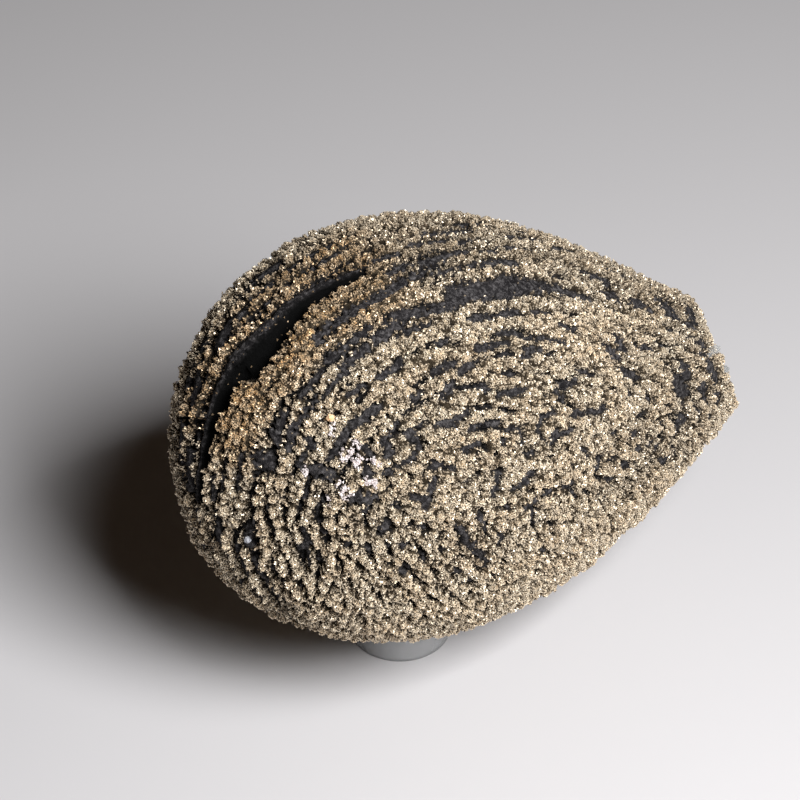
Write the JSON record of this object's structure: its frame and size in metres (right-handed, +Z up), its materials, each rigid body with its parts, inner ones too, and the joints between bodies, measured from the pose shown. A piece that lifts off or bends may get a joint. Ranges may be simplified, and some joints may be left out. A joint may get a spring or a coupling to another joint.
{
  "type": "pyrite concretion on a ring stand",
  "caption": "Teardrop-shaped dark concretion crusted with ridges of small brassy pyrite crystals, standing on its rim on a short clear ring, as a display specimen.",
  "frame": {"origin": "on the table, under the middle of the whole specimen's box", "axes": "+Z up; +X along the stone's longest reach, towards its tapered tip; -Y towards the side seen in the picture"},
  "size_m": [0.1498, 0.1124, 0.1342],
  "materials": {
    "pyrite_crust": "sparkling crust of small pale brass crystals in worm-like ridges, with dull black shale in the hollows",
    "clear_acrylic": "clear, polished"
  },
  "bodies": {
    "root": {"concretion": "pyrite_crust", "ring_stand": "clear_acrylic"}
  },
  "joints": []
}
